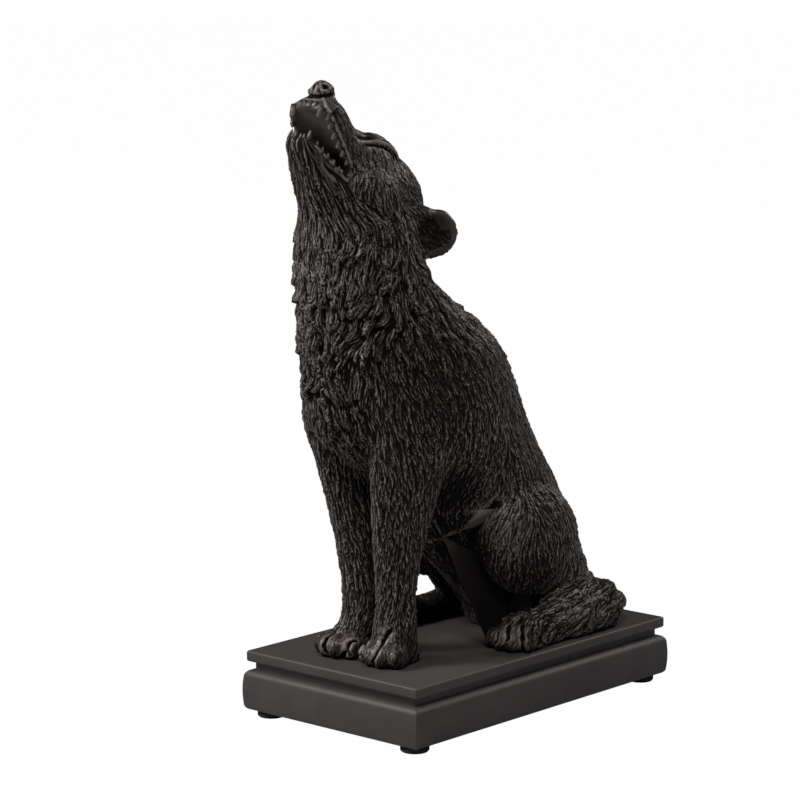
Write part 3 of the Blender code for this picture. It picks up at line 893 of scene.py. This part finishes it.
def grow_coat(obj, guides, lines, painted_spots):
    """Carves folds, locks and hair into the skin, and gives the places of its faces before that."""
    tree = BVHTree.FromObject(obj, bpy.context.evaluated_depsgraph_get())
    lock_strokes, hair_strokes = grow_strokes(obj, tree, guides, lines)
    refine(obj)
    world, normals = skin_points(obj)
    points = wolf_points(world)
    grid = Grid(points, GRID_CELL)
    rise, hairless = fold(points, lines)
    rise += leather(points)
    furry = 1 - np.maximum(bare(points), hairless)
    tone = np.full(len(points), 0.5)
    locks = np.zeros(len(points))
    carve(points, normals, grid, lock_strokes, False, LOCK_POINT, locks, tone)
    hair = np.zeros(len(points))
    carve(points, normals, grid, hair_strokes, True, HAIR_POINT, hair, tone)
    strands = (hair - HAIR_SUNK * stored(obj, "hair_height")) * furry + rise
    lift = (locks - LOCK_SUNK * stored(obj, "lock_height")) * furry + strands
    lift[points[:, 2] < SOLE] = 0
    middles = wolf_points(vectors(obj.data.polygons, "center"))
    move_points(obj, world + normals * (lift * MM)[:, None])
    # Painted light: shade in the grooves and hollows, highlight on the bulges, shade near the slab and at
    # the listed places; the paler ridges are partly dry-brush and partly painted highlight
    fine = strands - spread(obj, strands, FINE_ROUNDS)
    even = spread(obj, lift, FINE_ROUNDS)
    painted_hollow_shade = np.clip((even - spread(obj, even, BROAD_ROUNDS)) / SHADED_HOLLOW_DEPTH, -1, BULGE_HIGHLIGHT_MOST)
    contact = 1 - smooth_step(0, CONTACT_HEIGHT, points[:, 2])
    drybrush_and_painted_light = LIGHTNESS_LEVEL - FUR_SHADE * furry + fine / FINE_HEIGHT + painted_hollow_shade
    drybrush_and_painted_light -= CONTACT_SHADE * contact + painted_shading(points, painted_spots)
    store(obj, "drybrush_and_painted_light", np.clip(drybrush_and_painted_light, 0, 1))
    store(obj, "tone", tone)
    return middles


# Finishes


def shader_of(material):
    return material.node_tree.nodes["Principled BSDF"]


def new_material(name, roughness, specular=0.5):
    made = bpy.data.materials.new(name)
    made.use_nodes = True
    shader = shader_of(made)
    shader.inputs["Roughness"].default_value = roughness
    shader.inputs["Specular IOR Level"].default_value = specular
    return made


def node(material, kind, **values):
    made = material.node_tree.nodes.new(kind)
    for key, value in values.items():
        setattr(made, key, value)
    return made


def link(material, source, target):
    material.node_tree.links.new(source, target)


def ramp(material, source, stops):
    made = node(material, "ShaderNodeValToRGB")
    bar = made.color_ramp
    while len(bar.elements) < len(stops):
        bar.elements.new(0.5)
    for element, (place, colour) in zip(bar.elements, stops):
        element.position = place
        element.color = (*colour, 1.0)
    link(material, source, made.inputs["Fac"])
    return made


def noise(material, scale, detail=3.0, rough=0.5):
    made = node(material, "ShaderNodeTexNoise")
    made.inputs["Scale"].default_value = scale
    made.inputs["Detail"].default_value = detail
    made.inputs["Roughness"].default_value = rough
    coords = node(material, "ShaderNodeTexCoord")
    link(material, coords.outputs["Object"], made.inputs["Vector"])
    return made


# Colour of the coat from the painted shade of its creases to its ridges, paler as dry-brush and painted
# highlight, and its roughness
COAT_COLOURS = [
    (0.25, (0.0004, 0.0003, 0.0003)),
    (0.45, (0.0035, 0.0028, 0.0025)),
    (0.62, (0.018, 0.0150, 0.0136)),
    (0.80, (0.060, 0.0515, 0.0470)),
    (1.0, (0.150, 0.1310, 0.1210)),
]
COAT_ROUGHNESS = [(0.4, (1.0, 1.0, 1.0)), (0.75, (0.34, 0.34, 0.34))]
COAT_TINT = (1.0, 0.9, 0.84, 1)
COAT_SPECULAR = 0.23
TONE_SPREAD = 0.26
GRAIN_SCALE = 1400.0
GRAIN_STRENGTH = 0.35
GRAIN_HEIGHT = 0.00025

PLINTH_TINT = (1.0, 0.93, 0.9, 1)
PLINTH_COLOURS = [(0.3, (0.022, 0.0198, 0.0188)), (0.7, (0.034, 0.0308, 0.0294))]
# Paler top of the slab: a painted sheen
PAINTED_SLAB_SHEEN = (0.037, 0.0335, 0.0318, 1)
RUBBER = (0.012, 0.012, 0.012, 1)


def coat_resin():
    """Painted shade in the creases, and pale and glossier on the ridges, partly as dry-brush and partly as
    painted highlight, each stroke a little lighter or darker.
    """
    made = new_material("coat_resin", roughness=0.42, specular=COAT_SPECULAR)
    shader = shader_of(made)
    shader.inputs["Specular Tint"].default_value = COAT_TINT
    drybrush_and_painted_light = node(made, "ShaderNodeAttribute", attribute_name="drybrush_and_painted_light")
    tone = node(made, "ShaderNodeAttribute", attribute_name="tone")
    depth = node(made, "ShaderNodeMath", operation="MULTIPLY_ADD")
    depth.inputs[1].default_value = TONE_SPREAD
    link(made, tone.outputs["Fac"], depth.inputs[0])
    lifted = node(made, "ShaderNodeMath", operation="ADD")
    lifted.inputs[1].default_value = -TONE_SPREAD / 2
    link(made, drybrush_and_painted_light.outputs["Fac"], lifted.inputs[0])
    link(made, lifted.outputs[0], depth.inputs[2])
    colour = ramp(made, depth.outputs[0], COAT_COLOURS)
    link(made, colour.outputs["Color"], shader.inputs["Base Color"])
    gloss = ramp(made, drybrush_and_painted_light.outputs["Fac"], COAT_ROUGHNESS)
    link(made, gloss.outputs["Color"], shader.inputs["Roughness"])
    grain = noise(made, GRAIN_SCALE)
    bump = node(made, "ShaderNodeBump")
    bump.inputs["Strength"].default_value = GRAIN_STRENGTH
    bump.inputs["Distance"].default_value = GRAIN_HEIGHT
    link(made, grain.outputs["Fac"], bump.inputs["Height"])
    link(made, bump.outputs["Normal"], shader.inputs["Normal"])
    return made


def plinth_resin():
    """Cloudy dark grey, with a painted sheen that makes the slab's top paler."""
    made = new_material("plinth_resin", roughness=0.6)
    shader = shader_of(made)
    shader.inputs["Specular Tint"].default_value = PLINTH_TINT
    cloud = noise(made, 60.0, detail=6.0, rough=0.6)
    colour = ramp(made, cloud.outputs["Fac"], PLINTH_COLOURS)
    place = node(made, "ShaderNodeSeparateXYZ")
    coords = node(made, "ShaderNodeTexCoord")
    link(made, coords.outputs["Object"], place.inputs["Vector"])
    top = node(made, "ShaderNodeMapRange")
    top.inputs["From Min"].default_value = (SLAB_TOP - SLAB_EDGE) * MM
    top.inputs["From Max"].default_value = SLAB_TOP * MM
    link(made, place.outputs["Z"], top.inputs["Value"])
    # Painted sheen on the slab's top
    painted_sheen = node(made, "ShaderNodeMixRGB", blend_type="MIX")
    painted_sheen.inputs["Color2"].default_value = PAINTED_SLAB_SHEEN
    link(made, top.outputs["Result"], painted_sheen.inputs["Fac"])
    link(made, colour.outputs["Color"], painted_sheen.inputs["Color1"])
    link(made, painted_sheen.outputs["Color"], shader.inputs["Base Color"])
    return made


def pad_rubber():
    made = new_material("pad_rubber", roughness=0.8)
    shader_of(made).inputs["Base Color"].default_value = RUBBER
    return made


def dress(obj, material):
    """Gives an object one material in place of any it has."""
    obj.data.materials.clear()
    obj.data.materials.append(material)


# Plinth


# Corners of the plinth: which way each lies in x and y, and where its round starts, in degrees
CORNERS = ((1, -1, -90), (1, 1, 0), (-1, 1, 90), (-1, -1, 180))

# Edges that bend by more than this, in degrees, stay crisp
SHARP_FROM = 40


def arc(inset, height, radius, start, stop, steps):
    """Insets and heights round an edge of the profile, its angles in degrees."""
    levels = []
    for i in range(steps + 1):
        a = math.radians(start + (stop - start) * i / steps)
        levels.append((inset + radius * (1 - math.cos(a)), height + radius * math.sin(a)))
    return levels


def plinth_levels():
    """Insets and heights of the plinth's profile, from the bottom up."""
    wall_bottom = PAD_HEIGHT + BLOCK_EDGE
    wall = BLOCK_HEIGHT - BLOCK_EDGE - SHOULDER_RADIUS
    block_top = PAD_HEIGHT + BLOCK_HEIGHT
    slab_bottom = block_top + NECK_HEIGHT
    neck = SLAB_INSET + NECK_INSET
    levels = arc(0, wall_bottom, BLOCK_EDGE, -90, 0, EDGE_STEPS)
    for i in range(1, WALL_STEPS):
        t = i / WALL_STEPS
        levels.append((-4 * BLOCK_BULGE * t * (1 - t), wall_bottom + wall * t))
    levels += arc(0, block_top - SHOULDER_RADIUS, SHOULDER_RADIUS, 0, 90, SHOULDER_STEPS)
    levels.append((neck, block_top + NECK_EASE))
    levels.append((neck, slab_bottom - NECK_EASE))
    levels += arc(SLAB_INSET, slab_bottom + SLAB_EDGE, SLAB_EDGE, -90, 0, SLAB_STEPS)
    levels += arc(SLAB_INSET, SLAB_TOP - SLAB_EDGE, SLAB_EDGE, 0, 90, SLAB_STEPS)
    return levels


def plinth():
    """One profile carried round a rectangle with small round corners."""
    bm = bmesh.new()
    rings = []
    for inset, height in plinth_levels():
        middle_x = BLOCK_WIDTH / 2 - inset - CORNER_RADIUS
        middle_y = BLOCK_LENGTH / 2 - inset - CORNER_RADIUS
        ring = []
        for side_x, side_y, quarter in CORNERS:
            for k in range(CORNER_STEPS + 1):
                a = math.radians(quarter + 90 * k / CORNER_STEPS)
                x = side_x * middle_x + CORNER_RADIUS * math.cos(a)
                y = side_y * middle_y + CORNER_RADIUS * math.sin(a)
                ring.append(bm.verts.new((x * MM, (y + MUZZLE_SHIFT) * MM, height * MM)))
        rings.append(ring)
    close_rings(bm, rings)
    made = from_bmesh("plinth", bm)
    made.data.shade_smooth()
    made.data.set_sharp_from_angle(angle=math.radians(SHARP_FROM))
    return made


# Stage, light and camera

# Floor and sky: half the floor's width in metres, its grey, how much of it glows to the camera,
# and the strength of the sky as light and as seen
FLOOR_HALF = 6.0
FLOOR_GREY = (0.45, 0.45, 0.45, 1)
FLOOR_GLOW = 0.99
SKY_LIGHT = 0.03
SKY_SEEN = 1.05

# Lamps: name, place in metres, width, watts
LAMPS = [
    ("key", (-0.9, -1.1, 1.3), 0.5, 36),
    ("fill", (0.9, -1.0, 1.9), 0.6, 26),
    ("rim", (0.5, 1.4, 1.1), 0.6, 12),
]
LAMP_AIM = (0, 0, 0.12)


def floor():
    """Grey paper that looks white to the camera."""
    bm = bmesh.new()
    bmesh.ops.create_grid(bm, x_segments=1, y_segments=1, size=FLOOR_HALF)
    made = from_bmesh("floor", bm)
    paper = new_material("floor_paper", roughness=0.9, specular=0.1)
    shader_of(paper).inputs["Base Color"].default_value = FLOOR_GREY
    glow = node(paper, "ShaderNodeEmission")
    rays = node(paper, "ShaderNodeLightPath")
    share = node(paper, "ShaderNodeMath", operation="MULTIPLY")
    share.inputs[1].default_value = FLOOR_GLOW
    mix = node(paper, "ShaderNodeMixShader")
    link(paper, rays.outputs["Is Camera Ray"], share.inputs[0])
    link(paper, share.outputs[0], mix.inputs["Fac"])
    link(paper, shader_of(paper).outputs["BSDF"], mix.inputs[1])
    link(paper, glow.outputs["Emission"], mix.inputs[2])
    out = paper.node_tree.nodes["Material Output"]
    link(paper, mix.outputs["Shader"], out.inputs["Surface"])
    made.data.materials.append(paper)


def world():
    """White to the camera, and faint as light."""
    made = bpy.data.worlds.new("studio")
    made.use_nodes = True
    bpy.context.scene.world = made
    tree = made.node_tree
    back = tree.nodes["Background"]
    back.inputs["Color"].default_value = (1, 1, 1, 1)
    rays = tree.nodes.new("ShaderNodeLightPath")
    level = tree.nodes.new("ShaderNodeMapRange")
    level.inputs["To Min"].default_value = SKY_LIGHT
    level.inputs["To Max"].default_value = SKY_SEEN
    tree.links.new(rays.outputs["Is Camera Ray"], level.inputs["Value"])
    tree.links.new(level.outputs["Result"], back.inputs["Strength"])


def lamp(name, place, size, power):
    light = bpy.data.lights.new(name, "AREA")
    light.size = size
    light.energy = power
    made = new_object(name, light)
    made.location = place
    made.rotation_euler = (Vector(LAMP_AIM) - Vector(place)).to_track_quat("-Z", "Y").to_euler()


def camera():
    view = bpy.data.cameras.new("camera")
    view.lens = LENS
    view.sensor_width = SENSOR
    view.clip_end = 20
    made = new_object("camera", view)
    made.location = Vector(CAMERA_PLACE) * MM
    made.rotation_euler = Vector(CAMERA_AIM).to_track_quat("-Z", "Y").to_euler()
    bpy.context.scene.camera = made


# The skin in bands, each with its corners
SLICES = [
    ("wolf_head", (-60, -110, 176), (60, 110, 260)),
    ("wolf_neck", (-60, -110, 140), (60, 110, 176)),
    ("wolf_ruff", (-60, -110, 112), (60, 110, 140)),
    ("wolf_shoulders", (-60, -110, 84), (60, 110, 112)),
    ("wolf_belly", (-60, -110, 58), (60, 110, 84)),
    ("wolf_forelegs", (-60, -110, -0.4), (60, -22, 58)),
    ("wolf_left_haunch", (0, -22, -0.4), (60, 110, 58)),
    ("wolf_right_haunch", (-60, -22, -0.4), (0, 110, 58)),
]


def slice_piece(name, skin, middles, low, high):
    """Part of a skin whose faces lie between two corners, closed where it was cut."""
    outside = np.any((middles < low) | (middles >= high), axis=1)
    bm = bmesh.new()
    bm.from_mesh(skin.data)
    bm.faces.ensure_lookup_table()
    bmesh.ops.delete(bm, geom=[bm.faces[i] for i in np.flatnonzero(outside)], context="FACES")
    rims = [edge for edge in bm.edges if edge.is_boundary]
    for edge in rims:
        edge.smooth = False
    bmesh.ops.holes_fill(bm, edges=rims, sides=0)
    made = from_bmesh(name, bm)
    made.data.shade_smooth()
    return made


# Teeth of the left side: x, y and height where each leaves the gum, radius, length
UPPER_TEETH = [
    (1.4, -90.6, 224.0, 0.7, 1.3),
    (3.9, -90.4, 223.8, 0.8, 1.4),
    (7.4, -90.4, 221.9, 1.55, 3.4),
    (9.7, -89.1, 219.6, 1.15, 2.0),
    (10.1, -88.1, 216.4, 1.25, 2.3),
    (10.2, -86.1, 212.4, 1.25, 2.3),
    (10.2, -83.8, 208.9, 1.2, 2.2),
    (10.2, -81.6, 205.3, 1.1, 2.0),
    (10.2, -79.3, 201.8, 0.95, 1.7),
]
UPPER_BITE = (-0.3, -0.5, -0.8)
LOWER_TEETH = [
    (1.4, -96.2, 212.0, 0.65, 1.3),
    (3.0, -96.0, 211.9, 0.65, 1.3),
    (5.0, -95.3, 211.6, 1.0, 2.9),
    (7.2, -93.3, 209.0, 0.75, 1.5),
    (8.3, -91.6, 206.6, 0.8, 1.6),
    (9.1, -89.5, 204.0, 0.85, 1.7),
    (9.8, -87.0, 201.4, 0.85, 1.7),
    (10.4, -84.7, 198.9, 0.8, 1.5),
]
LOWER_BITE = (-0.12, 0.3, 0.94)
TOOTH_SIDES = 10
TOOTH_RINGS = 7
TOOTH_ROOT = 1.4
TOOTH_CURL = 0.08
TOOTH_TIP = 0.15
TOOTH_TAPER = 2.4
# Lightness at the gum and at the tip of each tooth; the paler tip is a painted highlight
GUM_LIGHTNESS = 0.5
TIP_GLINT = 1.0


def tooth(bm, root, way, radius, length):
    """Closed spike with a blunt tip, sunk into the gum by its root."""
    way = Vector(way).normalized()
    side = way.cross(Vector((0, 0, 1))).normalized()
    other = way.cross(side)
    rings = []
    for k in range(TOOTH_RINGS):
        t = k / (TOOTH_RINGS - 1)
        along = -TOOTH_ROOT + (length + TOOTH_ROOT) * t
        middle = Vector(root) + way * along + side * (TOOTH_CURL * length * t * t)
        wide = radius * max(TOOTH_TIP, math.sqrt(1 - t**TOOTH_TAPER))
        ring = []
        for i in range(TOOTH_SIDES):
            a = 2 * math.pi * i / TOOTH_SIDES
            rim = (side * math.cos(a) + other * math.sin(a)) * wide
            ring.append(bm.verts.new(to_world(middle + rim)))
        rings.append(ring)
    close_rings(bm, rings)


def teeth():
    """Both rows of teeth, each tooth mirrored, paler towards the tips as a painted highlight."""
    bm = bmesh.new()
    for rows, bite in ((UPPER_TEETH, UPPER_BITE), (LOWER_TEETH, LOWER_BITE)):
        for x, y, z, radius, length in rows:
            for side in (-1, 1):
                tooth(bm, (side * x, y, z), (side * bite[0], bite[1], bite[2]), radius, length)
    bmesh.ops.recalc_face_normals(bm, faces=bm.faces)
    made = from_bmesh("wolf_teeth", bm)
    made.data.shade_smooth()
    count = len(made.data.vertices)
    # Painted highlight, paler towards each tip
    tip_glint = np.repeat(np.linspace(GUM_LIGHTNESS, TIP_GLINT, TOOTH_RINGS), TOOTH_SIDES)
    store(made, "drybrush_and_painted_light", np.tile(tip_glint, count // len(tip_glint)))
    store(made, "tone", np.full(count, 0.5))
    return made


def wolf():
    """Every piece of the wolf."""
    skin = wolf_skin()
    casting = BVHTree.FromObject(frame["nodes"]["casting"], bpy.context.evaluated_depsgraph_get())
    middles = grow_coat(skin, guide_table(casting), fold_lines(casting), painted_light_places(casting))
    pieces = [slice_piece(name, skin, middles, low, high) for name, low, high in SLICES]
    discard(skin)
    pieces.append(teeth())
    return pieces


def main():
    bpy.context.scene.view_settings.view_transform = "Standard"
    camera()
    world()
    floor()
    for values in LAMPS:
        lamp(*values)
    pieces = wolf()
    fur = coat_resin()
    for piece in pieces:
        dress(piece, fur)
    base = plinth()
    dress(base, plinth_resin())
    for piece in [*pieces, base]:
        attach(piece, "root")
        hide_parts("casting")
    rubber = pad_rubber()
    for name, pad in frame["nodes"].items():
        if name.startswith("foot_pad"):
            dress(pad, rubber)


main()
